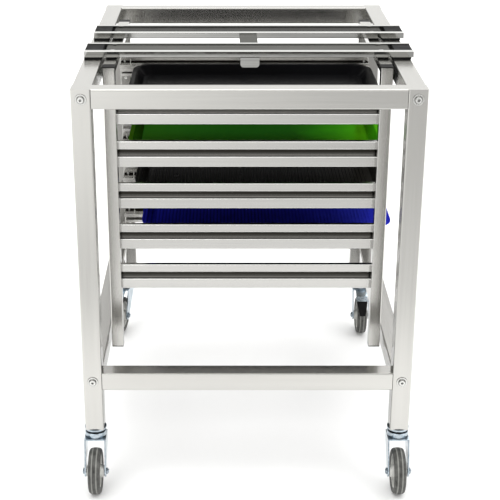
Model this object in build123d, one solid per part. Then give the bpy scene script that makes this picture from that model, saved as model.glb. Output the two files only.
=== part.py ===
"""Mobile sheet pan rack: a bolted tube stand on swivel casters that carries a lift-out rack of pans.

Millimetres, +Z up. X runs across the stand, and the pans pull out along +X. Y runs along its depth.
The floor is z = 0. Every piece is modelled about the stand's own centre line, and save() moves
it by CENTRE_SHIFT so that the origin lies under the middle of the overall box.
"""
from build123d import *
import math
import os

# Stand
STAND_WIDTH = 660.0
STAND_DEPTH = 798.0
STAND_HEIGHT = 850.0
TUBE = 38.0
TUBE_WALL = 1.5
TUBE_CORNER = 3.0
LEG_BOTTOM = 136.0
LOWER_RAIL_TOP = 265.0
LEG_LID = 2.0
RAIL_END_PLATE = 5.0
BOLT_SHANK_R = 3.5
BOLT_FLANGE_R = 11.0
BOLT_FLANGE = 1.8
BOLT_DOME_R = 7.5
BOLT_HEAD_HEIGHT = 5.5
BOLT_SOCKET = 5.0
BOLT_LENGTH = 48.0

# Casters
WHEEL_R = 48.0
WHEEL_WIDTH = 25.0
TRAIL = 33.0
REAR_LEFT_SWIVEL = -13.0
FORK_OUTER = 44.0
FORK_SHEET = 3.0
FORK_CROWN_Z = 113.0
FORK_BACK = 20.0
FORK_FRONT = -24.0
FORK_EYE_R = 12.0
CUP_R = 21.8
CUP_TOP = 127.0
RACE_R = 22.5
RACE_BOTTOM = 130.6
BALL_RING_R = 16.5
KINGPIN_R = 6.0
KINGPIN_HEAD_R = 10.0
KINGPIN_BOTTOM = 107.5
STEM_TOP = 168.0
INSERT_HEIGHT = 34.0
AXLE_R = 4.0
AXLE_HEX = 13.0
AXLE_HEX_HEIGHT = 3.2
RUNNING_CLEARANCE = 0.05
HUB_HALF = 17.6
WEB_HALF = 3.0
RIM_HALF = 9.5
RIM_R = 35.0
TREAD_GROOVES = (-6.2, -2.0, 2.0, 6.2)
BRAKE_WIDTH = 28.0
SHOE_GAP = 0.8
SHOE_DEPTH = 7.5
SHOE_TOP = 98.0
SHOE_BOTTOM = 67.0
TREAD_GROOVE = 0.9

# Lift-out rack
POST = 24.0
POST_WALL = 1.5
POST_OUTER_X = 286.0
POST_OUTER_Y = 226.6
POST_BOTTOM = 242.0
POST_CORNER = 2.0
CAP_PLATE = 2.0
CAP_PLUG = 12.0
SIDE_BAR_HEIGHT = 14.0
SHEET = 1.5
RUNNER_COUNT = 5
RUNNER_TOP = 780.5
RUNNER_PITCH = 90.1
RUNNER_HALF_LENGTH = 284.0
UPPER_BAR = 17.3
RECESS = 15.2
LOWER_BAR = 21.8
RECESS_DEPTH = 14.0
LEDGE_DROP = 21.8
LEDGE_EDGE = 159.5
GUIDE_RIB = 168.2
FLANGE = 11.0
BEND_R = 2.0
UPPER_RIVET_DROP = 18.8
UPPER_RIVET_R = 2.8
LOWER_RIVET_DROP = 60.5
LOWER_RIVET_R = 3.8

# Pans
PAN_LENGTH = 533.0
PAN_WIDTH = 332.0
PAN_DEPTH = 20.0
PAN_CORNER = 50.0
PAN_RIM = 9.0
PAN_SLOPE = 15.0
PAN_SHEET = 1.2
PAN_LIP = 3.0
PAN_REST_GAP = 0.15
RIB_PITCH = 7.5

# Crossbars
CROSSBAR_LENGTH = 662.0
CROSSBAR_WIDTH = 80.0
CROSSBAR_HEIGHT = 12.5
CROSSBAR_WALL = 2.0
CROSSBAR_LIP = 12.0
CROSSBAR_EDGE_R = 1.2
CROSSBAR_CENTRES = (-121.0, 53.0)
CROSSBAR_OFFSETS = (3.0, 6.0)
CLIP_OFFSET = 5.3
CROSSBAR_CAP = 36.0
CROSSBAR_BOLT_R = 3.2
CROSSBAR_HEX = 10.0
PAD_THICKNESS = 3.7
PAD_HALF_LENGTH = 38.0
SPACER_HALF_LENGTH = 34.0
CLIP_WIDTH = 38.0
CLIP_SHEET = 2.0
CLIP_TONGUE = 20.0
CLIP_CORNER = 6.5
CLIP_HOOK = 8.0

# Derived places
FRONT_REACH = STAND_DEPTH / 2 - TUBE / 2 + TRAIL + WHEEL_R
REAR_REACH = STAND_DEPTH / 2 + BOLT_HEAD_HEIGHT
CENTRE_SHIFT = (FRONT_REACH - REAR_REACH) / 2
LEG_X = STAND_WIDTH / 2 - TUBE / 2
LEG_Y = STAND_DEPTH / 2 - TUBE / 2
RUNNER_FACE = POST_OUTER_Y - POST
POST_X = POST_OUTER_X - POST / 2
POST_Y = POST_OUTER_Y - POST / 2
CROSSBAR_BOTTOM = STAND_HEIGHT + PAD_THICKNESS
RAIL_LEVELS = (STAND_HEIGHT - TUBE / 2, LOWER_RAIL_TOP - TUBE / 2)

# name, offset along X, height of the floor ribs
PANS = (
    ("pan_black_smooth", 16.5, 0.0),
    ("pan_green", 19.5, 0.0),
    ("pan_black_ribbed", 31.0, 1.2),
    ("pan_blue", 43.7, 0.7),
)
# name, leg position, swivel angle
CASTERS = (
    ("front_left", -1, -1, 0.0),
    ("front_right", 1, -1, 0.0),
    ("rear_left", -1, 1, REAR_LEFT_SWIVEL),
    ("rear_right", 1, 1, 0.0),
)


def save(name, *solids):
    """Write one node, moved from the stand's centre line to the origin of the whole box."""
    moved = [Pos(0, CENTRE_SHIFT, 0) * solid for solid in solids]
    shape = moved[0] if len(moved) == 1 else Compound(children=moved)
    export_step(shape, f"parts/{name}.step")


def box(x0, x1, y0, y1, z0, z1):
    """A box between two corners."""
    centre = Pos((x0 + x1) / 2, (y0 + y1) / 2, (z0 + z1) / 2)
    return centre * Box(x1 - x0, y1 - y0, z1 - z0)


def square_tube(side, wall, corner, length):
    """A hollow square tube that stands on z = 0."""
    outer = RectangleRounded(side, side, corner)
    inner = RectangleRounded(side - 2 * wall, side - 2 * wall, corner - wall / 2)
    return extrude(outer - inner, length)


def cylinder_z(radius, z0, z1):
    return Pos(0, 0, (z0 + z1) / 2) * Cylinder(radius, z1 - z0)


def hexagon_z(across_flats, z0, z1):
    corner_radius = across_flats / math.sqrt(3)
    return Pos(0, 0, z0) * extrude(RegularPolygon(corner_radius, 6), z1 - z0)


# ---------------------------------------------------------------- stand

def leg():
    """A leg with a closed top and a bolt hole through its outer and inner wall at each rail."""
    height = STAND_HEIGHT - LEG_BOTTOM
    tube = Pos(0, 0, LEG_BOTTOM) * square_tube(TUBE, TUBE_WALL, TUBE_CORNER, height)
    lid = extrude(RectangleRounded(TUBE, TUBE, TUBE_CORNER), LEG_LID)
    tube += Pos(0, 0, STAND_HEIGHT - LEG_LID) * lid
    for z in RAIL_LEVELS:
        tube -= Pos(0, 0, z) * Rot(90, 0, 0) * Cylinder(BOLT_SHANK_R + 0.2, 2 * TUBE)
    return tube


def rail_x():
    """A rail between two legs, welded on, along X and centred."""
    length = STAND_WIDTH - 2 * TUBE
    return Pos(-length / 2, 0, 0) * Rot(0, 90, 0) * square_tube(TUBE, TUBE_WALL, TUBE_CORNER, length)


def rail_y():
    """A rail between two legs along Y, with tapped plates in its ends for the corner bolts."""
    length = STAND_DEPTH - 2 * TUBE
    rail = Pos(0, length / 2, 0) * Rot(90, 0, 0) * square_tube(TUBE, TUBE_WALL, TUBE_CORNER, length)
    plate_side = TUBE - 2 * TUBE_WALL
    for end in (-1, 1):
        y = end * (length / 2 - RAIL_END_PLATE / 2)
        rail += Pos(0, y, 0) * Rot(90, 0, 0) * extrude(
            RectangleRounded(plate_side, plate_side, 2.0), RAIL_END_PLATE / 2, both=True)
        rail -= Pos(0, y, 0) * Rot(90, 0, 0) * Cylinder(BOLT_SHANK_R, 2 * RAIL_END_PLATE)
    return rail


def corner_bolt():
    """A flanged button-head bolt along +Z, with its flange's seat at z = 0 and its shank below."""
    flange = fillet(Cylinder(BOLT_FLANGE_R, BOLT_FLANGE).edges().group_by(Axis.Z)[-1], 0.8)
    dome_height = BOLT_HEAD_HEIGHT - 0.9
    dome = fillet(Cylinder(BOLT_DOME_R, dome_height).edges().group_by(Axis.Z)[-1], 2.6)
    head = Pos(0, 0, BOLT_FLANGE / 2) * flange + Pos(0, 0, BOLT_HEAD_HEIGHT - dome_height / 2) * dome
    head -= hexagon_z(BOLT_SOCKET, BOLT_HEAD_HEIGHT - 2.9, BOLT_HEAD_HEIGHT + 1)
    return head + cylinder_z(BOLT_SHANK_R, -BOLT_LENGTH, 0.5)


def make_stand():
    for y_name, side_y in (("front", -1), ("rear", 1)):
        for x_name, side_x in (("left", -1), ("right", 1)):
            save(f"leg_{y_name}_{x_name}", Pos(side_x * LEG_X, side_y * LEG_Y, 0) * leg())
    for level, z in zip(("top", "lower"), RAIL_LEVELS):
        save(f"{level}_rail_front", Pos(0, -LEG_Y, z) * rail_x())
        save(f"{level}_rail_rear", Pos(0, LEG_Y, z) * rail_x())
        save(f"{level}_rail_left", Pos(-LEG_X, 0, z) * rail_y())
        save(f"{level}_rail_right", Pos(LEG_X, 0, z) * rail_y())
    bolts = []
    for x in (-LEG_X, LEG_X):
        for z in RAIL_LEVELS:
            bolts.append(Pos(x, -STAND_DEPTH / 2, z) * Rot(90, 0, 0) * corner_bolt())
            bolts.append(Pos(x, STAND_DEPTH / 2, z) * Rot(-90, 0, 0) * corner_bolt())
    save("frame_corner_bolts", *bolts)


# ---------------------------------------------------------------- casters

def top_edges(solid):
    return solid.edges().group_by(Axis.Z)[-1]


def bottom_edges(solid):
    return solid.edges().group_by(Axis.Z)[0]


def leg_insert():
    """The square plug in a leg's foot that holds the caster's stem."""
    side = TUBE - 2 * TUBE_WALL
    plug = Pos(0, 0, LEG_BOTTOM) * extrude(RectangleRounded(side, side, TUBE_CORNER), INSERT_HEIGHT)
    return plug - cylinder_z(KINGPIN_R, LEG_BOTTOM - 1, LEG_BOTTOM + INSERT_HEIGHT + 1)


def caster_stem():
    """Stem, upper race, ball ring and kingpin head, all fixed to the leg."""
    race = cylinder_z(RACE_R, RACE_BOTTOM, LEG_BOTTOM)
    head = cylinder_z(KINGPIN_HEAD_R, KINGPIN_BOTTOM, FORK_CROWN_Z - 0.3)
    stem = fillet(bottom_edges(race), 3.0) + cylinder_z(KINGPIN_R, FORK_CROWN_Z - 1, STEM_TOP)
    stem += cylinder_z(BALL_RING_R, CUP_TOP + 0.3, RACE_BOTTOM + 0.1)
    return stem + fillet(bottom_edges(head), 2.0)


def fork_side():
    """One cheek of the fork in the YZ plane: broad at the crown and round about the axle."""
    axle_y, axle_z = -TRAIL, WHEEL_R
    top = FORK_CROWN_Z + FORK_SHEET
    outline = Polyline(
        (FORK_FRONT, top), (FORK_BACK, top), (FORK_BACK, FORK_CROWN_Z - 13),
        (axle_y + FORK_EYE_R, axle_z + 2), (axle_y - FORK_EYE_R, axle_z), close=True)
    cheek = make_face(outline) + Pos(axle_y, axle_z) * Circle(FORK_EYE_R)
    return extrude(Plane.YZ * cheek, FORK_SHEET)


def fork():
    """A pressed fork: crown with a raised bearing cup, and two cheeks. Swivel axis on Z."""
    half = FORK_OUTER / 2
    body = box(-half, half, FORK_FRONT, FORK_BACK, FORK_CROWN_Z, FORK_CROWN_Z + FORK_SHEET)
    for x in (-half, half - FORK_SHEET):
        body += Pos(x, 0, 0) * fork_side()
    cup = cylinder_z(CUP_R, FORK_CROWN_Z, CUP_TOP)
    body += fillet(top_edges(cup), 2.5)
    body -= cylinder_z(KINGPIN_R + RUNNING_CLEARANCE, FORK_CROWN_Z - 10, CUP_TOP + 1)
    axle_hole = Pos(0, -TRAIL, WHEEL_R) * Rot(0, 90, 0) * Cylinder(AXLE_R, 2 * FORK_OUTER)
    return body - axle_hole


def brake_shoe():
    """A black shoe that hugs the front of the tread and narrows downwards."""
    ring = Cylinder(WHEEL_R + SHOE_DEPTH, BRAKE_WIDTH) - Cylinder(WHEEL_R + SHOE_GAP, BRAKE_WIDTH)
    ring = Pos(0, -TRAIL, WHEEL_R) * Rot(0, 90, 0) * ring
    half = BRAKE_WIDTH / 2 - 0.5
    outline = make_face(Polyline(
        (-half, SHOE_TOP), (half, SHOE_TOP), (half - 1, SHOE_TOP - 6), (half / 2, SHOE_BOTTOM),
        (-half / 2, SHOE_BOTTOM), (1 - half, SHOE_TOP - 6), close=True))
    prism = Pos(0, -TRAIL, 0) * extrude(Plane.XZ * outline, 2 * WHEEL_R)
    return ring & prism


def brake_pedal():
    """A bent plate from the crown's front edge out over the wheel."""
    front, top = FORK_FRONT, FORK_CROWN_Z + FORK_SHEET
    outline = make_face(Polyline(
        (front + 2, top), (front - 24, top - 10), (front - 37, top - 18), (front - 35, top - 21),
        (front - 23, top - 13), (front + 2, top - 3), close=True))
    return Pos(-BRAKE_WIDTH / 2, 0, 0) * extrude(Plane.YZ * outline, BRAKE_WIDTH)


def axle():
    """Wheel bolt along X with a hexagon head on one side and a nut on the other."""
    half = FORK_OUTER / 2
    shank = cylinder_z(AXLE_R, -half - AXLE_HEX_HEIGHT - 1.1, half + AXLE_HEX_HEIGHT + 2.1)
    head = hexagon_z(AXLE_HEX, half, half + AXLE_HEX_HEIGHT)
    nut = hexagon_z(AXLE_HEX, -half - AXLE_HEX_HEIGHT, -half)
    return Rot(0, 90, 0) * (shank + head + nut)


def wheel_core():
    """Hub, web and rim as one moulding, turned about X."""
    bore = AXLE_R + RUNNING_CLEARANCE
    outline = Polyline(
        (bore, 0), (bore, HUB_HALF), (11, HUB_HALF), (13, HUB_HALF - 4.5), (14, WEB_HALF + 1),
        (16, WEB_HALF), (RIM_R - 6, WEB_HALF), (RIM_R - 4, WEB_HALF + 1), (RIM_R - 3.5, RIM_HALF),
        (RIM_R, RIM_HALF), (RIM_R, 0), close=True)
    solid = revolve(Plane.XZ * make_face(outline), Axis.Z)
    return Rot(0, 90, 0) * (solid + mirror(solid, Plane.XY))


def tyre():
    """A crowned solid tyre with shallow grooves round its tread."""
    half = WHEEL_WIDTH / 2
    edge, shoulder = (WHEEL_R - 7.0, half), (WHEEL_R - 1.0, half - 5.0)
    middle = (WHEEL_R - 2.7, half - 1.7)
    inner, wall = (RIM_R, RIM_HALF), (RIM_R + 3, half - 1.5)

    def mirrored(point):
        return (point[0], -point[1])

    face = make_face(
        Polyline(mirrored(inner), inner, wall, edge) +
        ThreePointArc(edge, middle, shoulder) +
        ThreePointArc(shoulder, (WHEEL_R, 0), mirrored(shoulder)) +
        ThreePointArc(mirrored(shoulder), mirrored(middle), mirrored(edge)) +
        Polyline(mirrored(edge), mirrored(wall), mirrored(inner)))
    for across in TREAD_GROOVES:
        face -= Pos(WHEEL_R - 0.35, across) * Rectangle(1.6, TREAD_GROOVE)
    return Rot(0, 90, 0) * revolve(Plane.XZ * face, Axis.Z)


def make_casters():
    stems, inserts = [], []
    for name, side_x, side_y, angle in CASTERS:
        leg_place = Pos(side_x * LEG_X, side_y * LEG_Y, 0)
        place = leg_place * Rot(0, 0, angle)
        at_axle = place * Pos(0, -TRAIL, WHEEL_R)
        stems.append(leg_place * caster_stem())
        inserts.append(leg_place * leg_insert())
        if side_y > 0:
            save(f"caster_fork_{name}", place * (fork() + brake_pedal() - brake_shoe()))
            save(f"caster_brake_{name}", place * brake_shoe())
        else:
            save(f"caster_fork_{name}", place * fork())
        save(f"caster_axle_{name}", at_axle * axle())
        save(f"caster_wheel_{name}", at_axle * wheel_core())
        save(f"caster_tyre_{name}", at_axle * tyre())
    save("caster_stems", *stems)
    save("leg_inserts", *inserts)


# ---------------------------------------------------------------- lift-out rack

def runner_section():
    """Runner profile: u is the distance inward from its face, v the height above its top."""
    recess_top = -UPPER_BAR
    recess_bottom = recess_top - RECESS
    bottom = recess_bottom - LOWER_BAR
    ledge_end = RUNNER_FACE - LEDGE_EDGE
    rib = RUNNER_FACE - GUIDE_RIB
    strips = (
        (0, SHEET, recess_top, 0),
        (0, FLANGE, -SHEET, 0),
        (FLANGE - SHEET, FLANGE, -6, 0),
        (0, RECESS_DEPTH, recess_top, recess_top + SHEET),
        (RECESS_DEPTH - SHEET, RECESS_DEPTH, recess_bottom - SHEET, recess_top + SHEET),
        (0, RECESS_DEPTH, recess_bottom - SHEET, recess_bottom),
        (0, SHEET, bottom, recess_bottom),
        (0, FLANGE, bottom, bottom + SHEET),
        (FLANGE - SHEET, FLANGE, bottom, bottom + 6),
        (RECESS_DEPTH - SHEET, ledge_end, -LEDGE_DROP - SHEET, -LEDGE_DROP),
        (ledge_end - SHEET, ledge_end, -LEDGE_DROP - 7, -LEDGE_DROP),
        (rib - 2, rib, -LEDGE_DROP - SHEET, -LEDGE_DROP + 3.5),
    )
    section = Sketch()
    for u0, u1, v0, v1 in strips:
        section += Pos((u0 + u1) / 2, (v0 + v1) / 2) * Rectangle(u1 - u0, v1 - v0)
    return section


def runner(side_y, top):
    """One runner on the front or rear pair of posts, with the bends of its face rounded."""
    section = runner_section()
    plane = Plane((-RUNNER_HALF_LENGTH, -RUNNER_FACE, top), x_dir=(0, 1, 0), z_dir=(1, 0, 0))
    solid = extrude(plane * section, 2 * RUNNER_HALF_LENGTH)
    solid = fillet(solid.edges().filter_by(Axis.X).group_by(Axis.Y)[0], BEND_R)
    return solid if side_y < 0 else mirror(solid, Plane.XZ)


def runner_top(index):
    return RUNNER_TOP - RUNNER_PITCH * index


def make_posts():
    caps = []
    top = STAND_HEIGHT - CAP_PLATE
    side = POST - 2 * POST_WALL
    for y_name, side_y in (("front", -1), ("rear", 1)):
        for x_name, side_x in (("left", -1), ("right", 1)):
            place = Pos(side_x * POST_X, side_y * POST_Y, 0)
            tube = square_tube(POST, POST_WALL, POST_CORNER, top - POST_BOTTOM)
            save(f"rack_post_{y_name}_{x_name}", place * Pos(0, 0, POST_BOTTOM) * tube)
            for z, sign in ((top, 1), (POST_BOTTOM, -1)):
                plate = extrude(RectangleRounded(POST, POST, POST_CORNER), sign * CAP_PLATE)
                plug = extrude(RectangleRounded(side, side, POST_CORNER), -sign * CAP_PLUG)
                caps.append(place * Pos(0, 0, z) * (plate + plug))
    save("rack_post_caps", *caps)


def make_side_bars():
    """The bars between the front and rear posts that the crossbars are bolted to."""
    half = RUNNER_FACE
    bottom = STAND_HEIGHT - SIDE_BAR_HEIGHT
    bars = []
    for x in (-POST_X, POST_X):
        outer = box(x - POST / 2, x + POST / 2, -half, half, bottom, STAND_HEIGHT)
        inner = box(x - POST / 2 + SHEET, x + POST / 2 - SHEET, -half, half,
                    bottom + SHEET, STAND_HEIGHT - SHEET)
        bar = outer - inner
        for y in CROSSBAR_CENTRES:
            bar -= Pos(x, y, STAND_HEIGHT) * Cylinder(CROSSBAR_BOLT_R, 60)
        bars.append(bar)
    save("rack_side_bars", *bars)


def make_runners():
    for index in range(RUNNER_COUNT):
        top = runner_top(index)
        save(f"runner_front_{index + 1}", runner(-1, top))
        save(f"runner_rear_{index + 1}", runner(1, top))


def rivet(radius):
    """A domed rivet along +Z with its seat at z = 0."""
    return fillet(top_edges(cylinder_z(radius, 0, 1.6)), 1.0)


def make_rivets():
    """Rivets near both ends of each runner: one on its web, and one on the post just below."""
    rivets = []
    places = ((UPPER_RIVET_DROP, UPPER_RIVET_R, RUNNER_FACE - RECESS_DEPTH),
              (LOWER_RIVET_DROP, LOWER_RIVET_R, RUNNER_FACE))
    for index in range(RUNNER_COUNT):
        for drop, radius, depth in places:
            z = runner_top(index) - drop
            for side_y in (-1, 1):
                for x in (-POST_X, POST_X):
                    at = Pos(x, side_y * depth, z) * Rot(90 * side_y, 0, 0)
                    rivets.append(at * rivet(radius))
    save("runner_rivets", *rivets)


def make_pan_stops():
    """Small upstands at the left end of each front and rear ledge that the pans push against."""
    stops = []
    for index in range(RUNNER_COUNT):
        z = runner_top(index) - LEDGE_DROP
        for side_y in (-1, 1):
            y0, y1 = sorted((side_y * LEDGE_EDGE, side_y * (GUIDE_RIB - 0.2)))
            foot = box(-RUNNER_HALF_LENGTH, -RUNNER_HALF_LENGTH + 26, y0, y1, z, z + SHEET)
            tab = box(-RUNNER_HALF_LENGTH + 24, -RUNNER_HALF_LENGTH + 26, y0, y1, z, z + 14)
            stops.append(foot + tab)
    save("pan_stops", *stops)


def crossbar(offset, y):
    """An open-topped channel across the stand, with inward lips along both walls."""
    half_l, half_w = CROSSBAR_LENGTH / 2, CROSSBAR_WIDTH / 2
    bottom, top = CROSSBAR_BOTTOM, CROSSBAR_BOTTOM + CROSSBAR_HEIGHT
    wall = CROSSBAR_WALL
    bar = box(-half_l, half_l, -half_w, half_w, bottom, top)
    bar = fillet(bar.edges().filter_by(Axis.X), CROSSBAR_EDGE_R)
    bar -= box(-half_l, half_l, -half_w + wall, half_w - wall, bottom + wall, top - wall)
    mouth = half_w - CROSSBAR_LIP
    bar -= box(-half_l, half_l, -mouth, mouth, top - wall, top)
    for x in (-POST_X, POST_X):
        bar -= Pos(x - offset, 0, bottom) * Cylinder(CROSSBAR_BOLT_R, 20)
    return Pos(offset, y, 0) * bar


def crossbar_ends(offset, y):
    """The end caps inside one crossbar, and the pads under it on the stand and on the rack."""
    pieces = []
    bottom = CROSSBAR_BOTTOM
    inner = CROSSBAR_WIDTH / 2 - CROSSBAR_WALL
    for side in (-1, 1):
        x = offset + side * CROSSBAR_LENGTH / 2
        x0, x1 = sorted((x, x - side * CROSSBAR_CAP))
        pieces.append(box(x0, x1, y - inner, y + inner, bottom + CROSSBAR_WALL,
                          bottom + CROSSBAR_HEIGHT - CROSSBAR_WALL))
        outer = side * min(abs(x), STAND_WIDTH / 2)
        x0, x1 = sorted((outer, side * (STAND_WIDTH / 2 - TUBE)))
        pieces.append(box(x0, x1, y - PAD_HALF_LENGTH, y + PAD_HALF_LENGTH, STAND_HEIGHT, bottom))
        post_x = side * POST_X
        spacer = box(post_x - 10, post_x + 10, y - SPACER_HALF_LENGTH, y + SPACER_HALF_LENGTH,
                     STAND_HEIGHT, bottom)
        pieces.append(spacer - Pos(post_x, y, bottom) * Cylinder(CROSSBAR_BOLT_R, 20))
    return pieces


def crossbar_bolt():
    """A hexagon bolt through a crossbar's floor and a side bar, with its nut below."""
    floor = CROSSBAR_BOTTOM + CROSSBAR_WALL
    under = STAND_HEIGHT - SIDE_BAR_HEIGHT
    head = hexagon_z(CROSSBAR_HEX, floor, floor + 4.0)
    shank = cylinder_z(CROSSBAR_BOLT_R, under - 6, floor)
    return head + shank + hexagon_z(CROSSBAR_HEX, under - 5, under)


def make_crossbars():
    rubbers, bolts = [], []
    for name, offset, y in zip(("front", "rear"), CROSSBAR_OFFSETS, CROSSBAR_CENTRES):
        save(f"crossbar_{name}", crossbar(offset, y))
        rubbers += crossbar_ends(offset, y)
        bolts += [Pos(x, y, 0) * crossbar_bolt() for x in (-POST_X, POST_X)]
    save("crossbar_rubbers", *rubbers)
    save("crossbar_bolts", *bolts)


def make_clip():
    """A sheet clip: hooked on the rear crossbar, passing under the front one, with a finger tab."""
    half = CLIP_WIDTH / 2
    front = CROSSBAR_CENTRES[0] - CROSSBAR_WIDTH / 2
    rear = CROSSBAR_CENTRES[1] - CROSSBAR_WIDTH / 2
    top = CROSSBAR_BOTTOM
    strap = box(-half, half, front - CLIP_SHEET, rear, top - CLIP_SHEET, top)
    hook = box(-half, half, rear - CLIP_SHEET, rear, top - CLIP_SHEET, top + CLIP_HOOK)
    tab = box(-half, half, front - CLIP_SHEET, front, top - CLIP_TONGUE, top)
    corners = tab.edges().filter_by(Axis.Y).group_by(Axis.Z)[0]
    save("crossbar_clip", Pos(CLIP_OFFSET, 0, 0) * (strap + hook + fillet(corners, CLIP_CORNER)))


# ---------------------------------------------------------------- pans

def sloping_tub(top_length, top_width, top_corner, slope, z_top, z_bottom):
    """A solid tub whose walls slope in towards the floor."""
    upper = Pos(0, 0, z_top) * RectangleRounded(top_length, top_width, top_corner)
    lower = Pos(0, 0, z_bottom) * RectangleRounded(
        top_length - 2 * slope, top_width - 2 * slope, top_corner - slope)
    return loft([upper.face(), lower.face()])


def floor_ribs(length, half_width, height, z):
    """Rounded ribs across the pan's floor, side by side along X."""
    count = int(length / RIB_PITCH)
    ribs = []
    for index in range(count):
        x = (index - (count - 1) / 2) * RIB_PITCH
        section = make_face(Polyline(
            (x - 2.2, -0.3), (x - 1.2, height), (x + 1.2, height), (x + 2.2, -0.3), close=True))
        plane = Plane((0, half_width, z), x_dir=(1, 0, 0), z_dir=(0, -1, 0))
        ribs.append(extrude(plane * section, 2 * half_width))
    return ribs


def pan(rib_height):
    """A pressed pan: flat rim with a turned-down lip, sloping walls and a flat or ribbed floor."""
    mouth_l, mouth_w = PAN_LENGTH - 2 * PAN_RIM, PAN_WIDTH - 2 * PAN_RIM
    mouth_r = PAN_CORNER - PAN_RIM
    sheet = PAN_SHEET
    outer = sloping_tub(mouth_l + 2 * sheet, mouth_w + 2 * sheet, mouth_r + sheet, PAN_SLOPE, 0, -PAN_DEPTH)
    rim = Pos(0, 0, -sheet) * extrude(RectangleRounded(PAN_LENGTH, PAN_WIDTH, PAN_CORNER), sheet)
    lip_outer = RectangleRounded(PAN_LENGTH, PAN_WIDTH, PAN_CORNER)
    lip_inner = RectangleRounded(PAN_LENGTH - 2 * sheet, PAN_WIDTH - 2 * sheet, PAN_CORNER - sheet)
    lip = Pos(0, 0, -PAN_LIP) * extrude(lip_outer - lip_inner, PAN_LIP)
    inner = sloping_tub(mouth_l, mouth_w, mouth_r, PAN_SLOPE, 0, -PAN_DEPTH + sheet)
    body = outer + rim + lip - inner
    if rib_height > 0:
        for rib in floor_ribs(mouth_l - 2 * PAN_SLOPE - 16, mouth_w / 2 - PAN_SLOPE - 6,
                              rib_height, -PAN_DEPTH + sheet):
            body += rib
    return body


def make_pans():
    for index, (name, offset, rib_height) in enumerate(PANS):
        rim_top = runner_top(index) - LEDGE_DROP + PAN_LIP + PAN_REST_GAP
        save(name, Pos(offset, 0, rim_top) * pan(rib_height))


os.makedirs("parts", exist_ok=True)
make_stand()
make_casters()
make_posts()
make_side_bars()
make_runners()
make_rivets()
make_pan_stops()
make_crossbars()
make_clip()
make_pans()
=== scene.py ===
"""Looks for the sheet pan rack: materials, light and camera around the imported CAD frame.

Metres, in the CAD model's own frame: +Z up, the floor at z = 0, pans pull out along +X.
"""
import math

import bpy
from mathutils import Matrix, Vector


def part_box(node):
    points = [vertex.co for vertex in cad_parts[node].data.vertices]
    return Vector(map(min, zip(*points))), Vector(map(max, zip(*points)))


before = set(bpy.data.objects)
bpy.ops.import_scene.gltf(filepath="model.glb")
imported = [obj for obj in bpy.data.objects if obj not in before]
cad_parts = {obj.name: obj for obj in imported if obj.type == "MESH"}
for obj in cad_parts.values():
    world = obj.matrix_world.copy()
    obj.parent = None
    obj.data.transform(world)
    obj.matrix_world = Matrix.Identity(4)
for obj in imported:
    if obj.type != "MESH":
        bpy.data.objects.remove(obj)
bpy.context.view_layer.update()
scene = bpy.context.scene

# Camera: lens in mm, pitch in degrees, and its place from the stand's own front face and top
STAND_FRONT_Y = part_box("leg_front_left")[0][1]
STAND_TOP_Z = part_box("leg_front_left")[1][2]
CAMERA_LENS = 90.41
CAMERA_PITCH = 68.217
CAMERA_X = -0.0473
CAMERA_BACK = 2.2424
CAMERA_UP = 0.5925
CAMERA_SHIFT = (0.05245, -0.0129)

# The runners' grooves, placed by their own nodes: how far a groove's top and bottom lie below the
# runner's top edge, its depth behind the face, the drop down to which its painted shadow is full,
# and the depth over which the painted shadow builds up
RUNNER_LOW, RUNNER_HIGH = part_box("runner_front_1")
RACK_MIDDLE_Y = (RUNNER_LOW[1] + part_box("runner_rear_1")[1][1]) / 2
RUNNER_FACE_Y = RACK_MIDDLE_Y - RUNNER_LOW[1]
RUNNER_TOP_Z = RUNNER_HIGH[2]
RUNNER_PITCH = RUNNER_TOP_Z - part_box("runner_front_2")[1][2]
GROOVE_DROP = (0.0175, 0.0323)
GROOVE_DEPTH = 0.0147
GROOVE_SHADOW_FULL = GROOVE_DROP[0] + 0.009
GROOVE_SHADOW_DEPTH = 0.006

# The stand's middle, the crossbars' channels, and the height that only the lower rails stay under
STAND_MIDDLE_Y = (STAND_FRONT_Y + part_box("leg_rear_left")[1][1]) / 2
CHANNEL_RIM_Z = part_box("crossbar_front")[1][2]
CHANNEL_DEPTH = 0.003
LOW_RAIL_Z = 0.30

# How much painted shade some faces get, from 0 to 1
INNER_SHADE = 0.45
LOW_TOP_SHADE = 0.40
CHANNEL_WALL_SHADE = 0.42

PAN_NODES = ("pan_black_smooth", "pan_green", "pan_black_ribbed", "pan_blue")

# How far each tyre's caster is turned, in degrees, and how far a tyre's paler bands lie from its
# middle
TYRE_ANGLES = {
    "caster_tyre_front_left": 0.0, "caster_tyre_front_right": 0.0,
    "caster_tyre_rear_left": -13.0, "caster_tyre_rear_right": 0.0,
}
TYRE_STRIPE = 0.0046

# The ribs' pitch, and a whole number of pitches that reaches past a pan's end
RIB_PITCH = 0.0075
RIB_REACH = 100 * RIB_PITCH

ALONG_X, ALONG_Y, ALONG_Z = (1, 0, 0), (0, 1, 0), (0, 0, 1)
# Tints: painted shade, painted shade under the pans, plain black, and a painted highlight
PAINTED_SHADE = (0.03, 0.028, 0.024)
UNDERSIDE_PAINTED_SHADE = (0.010, 0.010, 0.010)
BLACK = (0.0, 0.0, 0.0)
PAINTED_HIGHLIGHT = (1.0, 1.0, 0.99)

# The studio's brightness by the height of the direction looked in, from level to straight up
STUDIO_STOPS = (
    (0.0, 1.00), (0.30, 1.15), (0.50, 1.00), (0.60, 0.28),
    (0.70, 0.25), (0.80, 1.90), (0.94, 1.90), (1.0, 0.60),
)

# The floor's half size, and its two changes of painted shade in front: the y where each starts,
# the y where it is full, and how much it is
FLOOR_HALF = 14.0
FLOOR_NEAR = (-0.9, -1.4, 0.36)
FLOOR_BEYOND = (-1.7, -2.4, 0.30)

# The second change lightens the floor in full at the left x, and darkens it by half at the right x
FLOOR_LEFT = (-0.9, 1.0)
FLOOR_RIGHT = (0.5, -0.5)

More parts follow.
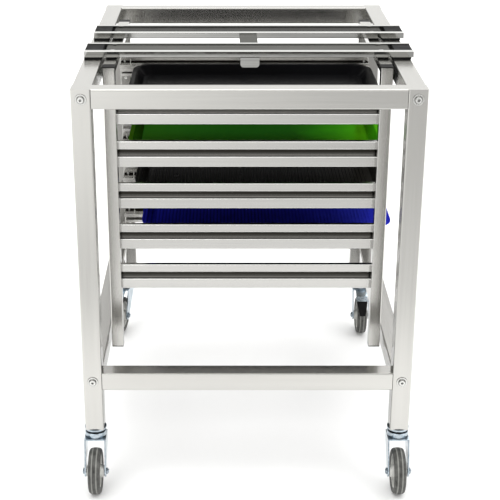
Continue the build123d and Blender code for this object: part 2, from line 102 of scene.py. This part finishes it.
# Each light: the direction it comes from, its strength, and its spread in degrees
LIGHTS = {
    "key_front_left": ((-0.55, -0.65, 1.0), 0.84, 45),
    "fill_front_right": ((0.8, -0.35, 0.9), 0.70, 40),
    "back": ((0.1, 0.8, 0.9), 0.78, 40),
}


# ---------------------------------------------------------------- node helpers

class Nodes:
    """Builds one material's node tree, link by link."""

    def __init__(self, name):
        self.material = bpy.data.materials.new(name)
        self.material.use_nodes = True
        self.tree = self.material.node_tree
        self.shader = self.tree.nodes["Principled BSDF"]
        self.coords = self.tree.nodes.new("ShaderNodeTexCoord").outputs["Object"]

    def new(self, kind, **settings):
        node = self.tree.nodes.new(kind)
        for key, value in settings.items():
            setattr(node, key, value)
        return node

    def link(self, source, target):
        self.tree.links.new(source, target)

    def set(self, **values):
        """Constants on the shader's own sockets; underscores stand for spaces."""
        for key, value in values.items():
            self.shader.inputs[key.replace("_", " ")].default_value = value

    def scaled(self, scale):
        mapping = self.new("ShaderNodeMapping")
        mapping.inputs["Scale"].default_value = scale
        self.link(self.coords, mapping.inputs["Vector"])
        return mapping.outputs["Vector"]

    def parts(self, vector):
        """The three numbers of a vector."""
        node = self.new("ShaderNodeSeparateXYZ")
        self.link(vector, node.inputs["Vector"])
        return node.outputs["X"], node.outputs["Y"], node.outputs["Z"]

    def normal(self):
        """The three numbers of the surface's own direction."""
        return self.parts(self.new("ShaderNodeNewGeometry").outputs["True Normal"])

    def crevice(self, reach, amount):
        """Up to an amount where a surface is closed in within a short reach."""
        node = self.new("ShaderNodeAmbientOcclusion", samples=8)
        node.inputs["Distance"].default_value = reach
        return self.remap(node.outputs["AO"], 0.35, 0.9, amount, 0.0)

    def noise(self, scale, detail=3.0, stretch=(1, 1, 1), roughness=0.5, distortion=0.0):
        node = self.new("ShaderNodeTexNoise")
        node.inputs["Scale"].default_value = scale
        node.inputs["Detail"].default_value = detail
        node.inputs["Roughness"].default_value = roughness
        node.inputs["Distortion"].default_value = distortion
        self.link(self.scaled(stretch), node.inputs["Vector"])
        return node.outputs["Fac"]

    def remap(self, value, low_in, high_in, low_out, high_out):
        node = self.new("ShaderNodeMapRange")
        for name, number in zip(("From Min", "From Max", "To Min", "To Max"),
                                (low_in, high_in, low_out, high_out)):
            node.inputs[name].default_value = number
        self.link(value, node.inputs["Value"])
        return node.outputs["Result"]

    def math(self, operation, a, b):
        node = self.new("ShaderNodeMath", operation=operation)
        for socket, value in zip(node.inputs, (a, b)):
            if isinstance(value, (int, float)):
                socket.default_value = value
            else:
                self.link(value, socket)
        return node.outputs[0]

    def absolute(self, value):
        return self.math("ABSOLUTE", value, 0)

    def ramp(self, value, stops):
        node = self.new("ShaderNodeValToRGB")
        elements = node.color_ramp.elements
        while len(elements) < len(stops):
            elements.new(0.5)
        for element, (position, colour) in zip(elements, stops):
            element.position = position
            element.color = (*colour, 1.0)
        self.link(value, node.inputs["Fac"])
        return node.outputs["Color"]

    def shade(self, colour, amount, tint=PAINTED_SHADE):
        """Moves a colour towards a tint, all the way where amount is 1."""
        node = self.new("ShaderNodeMix", data_type="RGBA")
        self.link(amount, node.inputs["Factor"])
        self.link(colour, node.inputs["A"])
        node.inputs["B"].default_value = (*tint, 1.0)
        return node.outputs["Result"]

    def bump(self, height, strength, distance):
        node = self.new("ShaderNodeBump")
        node.inputs["Strength"].default_value = strength
        node.inputs["Distance"].default_value = distance
        self.link(height, node.inputs["Height"])
        return node.outputs["Normal"]

    def finish(self, colour, roughness, normal=None):
        self.link(colour, self.shader.inputs["Base Color"])
        self.link(roughness, self.shader.inputs["Roughness"])
        if normal is not None:
            self.link(normal, self.shader.inputs["Normal"])
        return self.material


def grain_stretch(direction):
    """Squeezes a noise across a direction, so that it draws long lines along it."""
    return tuple(0.012 if along else 1.0 for along in direction)


# ---------------------------------------------------------------- materials

def brushed_steel(name, direction, tone, rough, groove=False):
    """Satin stainless: fine brush lines, a faint cloudiness, a few handling marks, and painted shade
    on its inner faces; runners get a painted highlight on their bends and painted shade in grooves.
    """
    m = Nodes(name)
    m.set(Metallic=1.0)
    lines = m.noise(900.0, 4.0, grain_stretch(direction))
    broad = m.noise(150.0, 2.0, grain_stretch(direction))
    marks = m.noise(38.0, 6.0, distortion=0.6)
    mixed = m.math("ADD", m.math("MULTIPLY", lines, 0.5), m.math("MULTIPLY", broad, 0.5))
    light = tuple(min(1.0, c * 1.03) for c in tone)
    dark = tuple(c * 0.95 for c in tone)
    colour = m.ramp(mixed, [(0.35, dark), (0.65, light)])
    if groove:
        # Runners: a painted highlight on their bends, then painted shade in their grooves
        colour = m.shade(m.shade(colour, bend_highlight(m), PAINTED_HIGHLIGHT), groove_painted_shade(m))
    else:
        # Other steel: painted shade on its inner faces and on the low rails' tops
        colour = m.shade(colour, inner_painted_shade(m))
    base = m.remap(mixed, 0.35, 0.65, rough * 0.9, rough * 1.12)
    smudge = m.remap(marks, 0.6, 0.8, 0.0, 0.05)
    normal = m.bump(lines, 0.05, 0.0003)
    return m.finish(colour, m.math("ADD", base, smudge), normal)


def groove_painted_shade(m):
    """0 on a runner's face, up to 1 at the back of its groove: painted shade where the groove's shadow
    falls.
    """
    _, y, z = m.parts(m.coords)
    across = m.absolute(m.math("SUBTRACT", y, RACK_MIDDLE_Y))
    depth = m.math("SUBTRACT", RUNNER_FACE_Y, across)
    level = m.math("SUBTRACT", RUNNER_TOP_Z, z)
    drop = m.math("MODULO", level, RUNNER_PITCH)
    inside = m.math("MULTIPLY", m.math("GREATER_THAN", drop, GROOVE_DROP[0]),
                    m.math("LESS_THAN", drop, GROOVE_DROP[1]))
    inside = m.math("MULTIPLY", inside, m.math("LESS_THAN", depth, GROOVE_DEPTH))
    shadow = m.remap(drop, GROOVE_SHADOW_FULL, GROOVE_DROP[1], 1.0, 0.70)
    gathered = m.remap(depth, 0.0, GROOVE_SHADOW_DEPTH, 0.0, 1.0)
    return m.math("MULTIPLY", inside, m.math("MULTIPLY", shadow, gathered))


def bend_highlight(m):
    """How much painted highlight the rounded bends and corners get."""
    _, ny, nz = m.normal()
    slope = m.math("MINIMUM", m.absolute(ny), m.absolute(nz))
    return m.remap(slope, 0.20, 0.45, 0.0, 0.85)


def inner_painted_shade(m):
    """Painted shade on the faces that look in towards the stand's middle, and on the low rails' tops."""
    x, y, z = m.parts(m.coords)
    nx, ny, nz = m.normal()
    out_x = m.math("MULTIPLY", nx, m.math("SIGN", x, 0))
    out_y = m.math("MULTIPLY", ny, m.math("SIGN", m.math("SUBTRACT", y, STAND_MIDDLE_Y), 0))
    inner = m.remap(m.math("MINIMUM", out_x, out_y), -0.9, -0.4, INNER_SHADE, 0.0)
    low = m.math("LESS_THAN", z, LOW_RAIL_Z)
    top = m.remap(nz, 0.5, 0.9, 0.0, LOW_TOP_SHADE)
    return m.math("MAXIMUM", inner, m.math("MULTIPLY", low, top))


def polished_steel(name, channel_shade):
    """Near-mirror stainless with faint drawn lines, painted shade on its upright walls, and painted
    shade on the floor of its channel."""
    m = Nodes(name)
    m.set(Metallic=1.0)
    lines = m.noise(420.0, 3.0, grain_stretch(ALONG_X))
    haze = m.noise(22.0, 5.0, distortion=0.8)
    colour = m.ramp(lines, [(0.3, (0.52, 0.52, 0.50)), (0.7, (0.70, 0.70, 0.68))])
    _, _, z = m.parts(m.coords)
    _, facing, up = m.normal()
    # Painted shade on the upright walls, then on the channel's floor
    colour = m.shade(colour, m.remap(m.absolute(facing), 0.6, 0.95, 0.0, CHANNEL_WALL_SHADE))
    floor = m.math("MULTIPLY", m.math("GREATER_THAN", up, 0.5),
                   m.math("LESS_THAN", z, CHANNEL_RIM_Z - CHANNEL_DEPTH))
    colour = m.shade(colour, m.math("MULTIPLY", floor, channel_shade), BLACK)
    rough = m.math("ADD", m.remap(lines, 0.3, 0.7, 0.04, 0.09), m.remap(haze, 0.5, 0.75, 0.0, 0.06))
    return m.finish(colour, rough, m.bump(lines, 0.03, 0.0003))


def zinc_plate(name):
    """Bluish zinc plate with a fine crystalline mottle, dulled patches and painted shade in its corners.
    """
    m = Nodes(name)
    m.set(Metallic=1.0)
    mottle = m.noise(260.0, 5.0)
    patch = m.noise(45.0, 3.0)
    colour = m.ramp(m.math("ADD", m.math("MULTIPLY", mottle, 0.5), m.math("MULTIPLY", patch, 0.5)),
                    [(0.35, (0.26, 0.32, 0.37)), (0.65, (0.56, 0.62, 0.67))])
    # Painted shade in the crevices
    colour = m.shade(colour, m.crevice(0.014, 1.0), (0.010, 0.022, 0.035))
    rough = m.remap(patch, 0.35, 0.7, 0.10, 0.24)
    return m.finish(colour, rough, m.bump(mottle, 0.08, 0.0003))


def fastener_steel(name):
    """Turned stainless: bright flats, with painted shade on its rounds and in its corners."""
    m = Nodes(name)
    m.set(Metallic=1.0)
    turned = m.noise(700.0, 4.0)
    colour = m.ramp(turned, [(0.35, (0.58, 0.58, 0.56)), (0.65, (0.76, 0.76, 0.74))])
    nx, ny, nz = (m.absolute(value) for value in m.normal())
    flat = m.math("MAXIMUM", nx, m.math("MAXIMUM", ny, nz))
    # Painted shade on the rounds and in the crevices
    dark = m.math("MAXIMUM", m.remap(flat, 0.72, 0.98, 0.95, 0.0), m.crevice(0.004, 0.8))
    colour = m.shade(colour, dark)
    return m.finish(colour, m.remap(turned, 0.3, 0.7, 0.18, 0.32), m.bump(turned, 0.12, 0.0002))


def tyre_rubber(name, angle):
    """Dark grey rubber with dusty patches and paler bands on both sides of its middle."""
    m = Nodes(name)
    low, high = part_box(name)
    turn = math.radians(angle)
    x, y, _ = m.parts(m.coords)
    along = m.math("MULTIPLY", m.math("SUBTRACT", x, (low[0] + high[0]) / 2), math.cos(turn))
    aside = m.math("MULTIPLY", m.math("SUBTRACT", y, (low[1] + high[1]) / 2), math.sin(turn))
    across = m.absolute(m.math("ADD", along, aside))
    band = m.remap(m.absolute(m.math("SUBTRACT", across, TYRE_STRIPE)), 0.0004, 0.0020, 1.0, 0.0)
    dust = m.noise(70.0, 6.0, roughness=0.6)
    grain = m.noise(1500.0, 2.0)
    dust_and_bands = m.math("ADD", m.remap(dust, 0.3, 0.7, 0.0, 0.35), m.math("MULTIPLY", band, 0.6))
    colour = m.ramp(dust_and_bands, [(0.0, (0.022, 0.022, 0.020)), (1.0, (0.30, 0.30, 0.28))])
    m.set(Specular_IOR_Level=0.3)
    return m.finish(colour, m.remap(dust, 0.3, 0.7, 0.42, 0.62), m.bump(grain, 0.2, 0.0003))


def moulded_plastic(name, dark, light, rough, gloss=0.3):
    """Injection-moulded plastic with a fine pebbled skin and slight scuffing."""
    m = Nodes(name)
    m.set(Specular_IOR_Level=gloss)
    pebble = m.noise(1100.0, 3.0)
    scuff = m.noise(60.0, 5.0, distortion=0.5)
    colour = m.ramp(scuff, [(0.3, dark), (0.75, light)])
    roughness = m.remap(scuff, 0.3, 0.7, rough * 0.85, rough * 1.2)
    return m.finish(colour, roughness, m.bump(pebble, 0.15, 0.0003))


def pan_coating(name, shaded_and_lit_tones, rough, metal, ior, rib_shade=0.0):
    """Baked non-stick coating, painted from a shaded tone at the left to a lit tone at the right,
    with a faint orange peel, dulled a little by use. Its underside gets painted shade, and with a rib
    shade the grooves between its ribs get painted shade, less towards the right."""
    m = Nodes(name + "_coating")
    m.set(Metallic=metal, IOR=ior, Specular_Tint=(*shaded_and_lit_tones[1], 1.0))
    low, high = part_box(name)
    x, _, _ = m.parts(m.coords)
    _, _, up = m.normal()
    peel = m.noise(420.0, 2.0)
    flow = m.noise(6.0, 2.0)
    wear = m.noise(55.0, 7.0, roughness=0.65, distortion=0.7)
    place = m.math("ADD", m.remap(x, low[0], high[0], 0.0, 1.0), m.remap(flow, 0.3, 0.7, -0.12, 0.12))
    # Painted shade at the left, painted light at the right
    colour = m.ramp(place, [(0.05, shaded_and_lit_tones[0]), (0.62, shaded_and_lit_tones[0]), (0.97, shaded_and_lit_tones[1])])
    # Painted shade in the grooves between ribs, fading towards the lit right
    if rib_shade:
        middle = (low[0] + high[0]) / 2
        phase = m.math("MODULO", m.math("SUBTRACT", x, middle - RIB_REACH), RIB_PITCH)
        away = m.absolute(m.math("SUBTRACT", phase, RIB_PITCH / 2))
        groove = m.remap(away, RIB_PITCH * 0.2, RIB_PITCH * 0.42, 0.0, rib_shade)
        fade = m.remap(place, 0.45, 0.85, 1.0, 0.1)
        colour = m.shade(colour, m.math("MULTIPLY", groove, fade), BLACK)
    # Painted shade on the underside
    colour = m.shade(colour, m.remap(up, -0.7, -0.3, 1.0, 0.0), UNDERSIDE_PAINTED_SHADE)
    roughness = m.math("ADD", m.remap(flow, 0.3, 0.7, rough * 0.9, rough * 1.1),
                       m.remap(wear, 0.6, 0.8, 0.0, 0.06))
    return m.finish(colour, roughness, m.bump(peel, 0.03, 0.0002))


def make_materials():
    """All the materials, by the keys that material_key gives."""
    steel = (0.560, 0.552, 0.528)
    runner = (0.575, 0.568, 0.548)
    materials = {
        "steel_x": brushed_steel("stainless_brushed_x", ALONG_X, steel, 0.20),
        "steel_y": brushed_steel("stainless_brushed_y", ALONG_Y, steel, 0.20),
        "steel_z": brushed_steel("stainless_brushed_z", ALONG_Z, steel, 0.20),
        "runner": brushed_steel("runner_sheet", ALONG_X, runner, 0.17, groove=True),
        # The rear crossbar is a darker copy, with full painted shade on its channel floor
        "polished": polished_steel("crossbar_polished", 0.55),
        "polished_rear": polished_steel("crossbar_polished_rear", 1.0),
        "zinc": zinc_plate("caster_zinc"),
        "fastener": fastener_steel("fastener_steel"),
        "wheel": moulded_plastic("wheel_plastic", (0.48, 0.48, 0.46), (0.62, 0.62, 0.59), 0.42),
        "cap": moulded_plastic("cap_plastic", (0.004, 0.004, 0.004), (0.010, 0.010, 0.010), 0.50, 0.08),
        "pad": moulded_plastic("pad_rubber", (0.004, 0.004, 0.004), (0.012, 0.012, 0.012), 0.60, 0.08),
        "insert": moulded_plastic("insert_nylon", (0.05, 0.05, 0.05), (0.09, 0.09, 0.09), 0.50),
        # Each pan's two tones: painted shade at its left, painted light at its right
        "pan_black_smooth": pan_coating(
            "pan_black_smooth", ((0.004, 0.004, 0.0045), (0.006, 0.006, 0.007)), 0.20, 0.0, 1.10),
        "pan_green": pan_coating(
            "pan_green", ((0.060, 0.150, 0.003), (0.150, 0.58, 0.006)), 0.22, 0.35, 1.02),
        "pan_black_ribbed": pan_coating(
            "pan_black_ribbed", ((0.007, 0.0065, 0.005), (0.012, 0.011, 0.009)), 0.24, 0.0, 1.04, 1.0),
        "pan_blue": pan_coating(
            "pan_blue", ((0.011, 0.013, 0.30), (0.030, 0.040, 0.50)), 0.22, 0.35, 1.02, 0.55),
    }
    for node, angle in TYRE_ANGLES.items():
        materials[node] = tyre_rubber(node, angle)
    return materials


def material_key(node):
    """Which material a CAD node wears."""
    if node in PAN_NODES or node in TYRE_ANGLES:
        return node
    starts = (
        ("caster_wheel", "wheel"), ("caster_brake", "pad"), ("caster", "zinc"),
        ("leg_inserts", "insert"), ("leg", "steel_z"), ("rack_post_caps", "cap"),
        ("rack_post", "steel_z"), ("rack_side_bar", "steel_y"), ("runner_rivets", "fastener"),
        ("runner", "runner"), ("pan_stops", "runner"), ("frame_corner_bolts", "fastener"),
        ("crossbar_bolts", "fastener"), ("crossbar_rubbers", "pad"), ("crossbar_rear", "polished_rear"),
        ("crossbar", "polished"),
    )
    for start, key in starts:
        if node.startswith(start):
            return key
    return "steel_y" if node.endswith(("left", "right")) else "steel_x"


def dress_nodes(materials):
    """Puts each CAD node's material in all its slots."""
    for name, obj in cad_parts.items():
        material = materials[material_key(name)]
        if not obj.material_slots:
            obj.data.materials.append(material)
        for place in obj.material_slots:
            place.material = material


# ---------------------------------------------------------------- stage

def make_camera():
    """In front of the stand, a little to the left of its middle, looking down on it."""
    data = bpy.data.cameras.new("camera")
    data.lens = CAMERA_LENS
    data.shift_x, data.shift_y = CAMERA_SHIFT
    camera = bpy.data.objects.new("camera", data)
    camera.location = (CAMERA_X, STAND_FRONT_Y - CAMERA_BACK, STAND_TOP_Z + CAMERA_UP)
    camera.rotation_euler = (math.radians(CAMERA_PITCH), 0, 0)
    scene.collection.objects.link(camera)
    scene.camera = camera


def soft_sun(name, toward, strength, spread):
    """A broad even light: the same everywhere on the floor, seen as a soft disc in gloss."""
    data = bpy.data.lights.new(name, "SUN")
    data.energy = strength
    data.angle = math.radians(spread)
    light = bpy.data.objects.new(name, data)
    light.rotation_euler = Vector(toward).to_track_quat("Z", "Y").to_euler()
    light.location = Vector(toward) * 3
    scene.collection.objects.link(light)


def make_world():
    """A studio that is bright low down all round, dark above, with a broad ring of light overhead."""
    world = bpy.data.worlds.new("studio")
    world.use_nodes = True
    tree = world.node_tree
    coords = tree.nodes.new("ShaderNodeTexCoord")
    split = tree.nodes.new("ShaderNodeSeparateXYZ")
    ramp = tree.nodes.new("ShaderNodeValToRGB")
    background = tree.nodes["Background"]
    tree.links.new(coords.outputs["Generated"], split.inputs["Vector"])
    tree.links.new(split.outputs["Z"], ramp.inputs["Fac"])
    elements = ramp.color_ramp.elements
    while len(elements) < len(STUDIO_STOPS):
        elements.new(0.5)
    for element, (position, value) in zip(elements, STUDIO_STOPS):
        element.position = position
        element.color = (value, value, value * 0.99, 1)
    tree.links.new(ramp.outputs["Color"], background.inputs["Color"])
    background.inputs["Strength"].default_value = 1.0
    scene.world = world


def make_floor():
    """A pale floor with painted shade far in front, where only the steel's front faces reflect it.
    Further out the painted shade is lighter again on the left and darker on the right."""
    mesh = bpy.data.meshes.new("floor")
    corners = [(x * FLOOR_HALF, y * FLOOR_HALF, 0) for x, y in ((-1, -1), (1, -1), (1, 1), (-1, 1))]
    mesh.from_pydata(corners, [], [(0, 1, 2, 3)])
    floor = bpy.data.objects.new("floor", mesh)
    m = Nodes("floor_paper")
    m.set(Specular_IOR_Level=0.2)
    x, y, _ = m.parts(m.coords)
    # Painted shade far in front, lighter on the left and darker on the right further out
    near = m.remap(y, FLOOR_NEAR[0], FLOOR_NEAR[1], 0.0, FLOOR_NEAR[2])
    beyond = m.remap(y, FLOOR_BEYOND[0], FLOOR_BEYOND[1], 0.0, FLOOR_BEYOND[2])
    side = m.remap(x, FLOOR_LEFT[0], FLOOR_RIGHT[0], FLOOR_LEFT[1], FLOOR_RIGHT[1])
    tint = m.noise(3.0, 2.0)
    paper = m.ramp(tint, [(0.3, (0.93, 0.93, 0.93)), (0.7, (0.95, 0.95, 0.95))])
    amount = m.math("SUBTRACT", near, m.math("MULTIPLY", beyond, side))
    colour = m.shade(paper, amount, BLACK)
    floor.data.materials.append(m.finish(colour, m.remap(tint, 0.3, 0.7, 0.7, 0.8)))
    scene.collection.objects.link(floor)


make_camera()
make_world()
for light, (toward, strength, spread) in LIGHTS.items():
    soft_sun(light, toward, strength, spread)
make_floor()
dress_nodes(make_materials())
scene.view_settings.view_transform = "Standard"
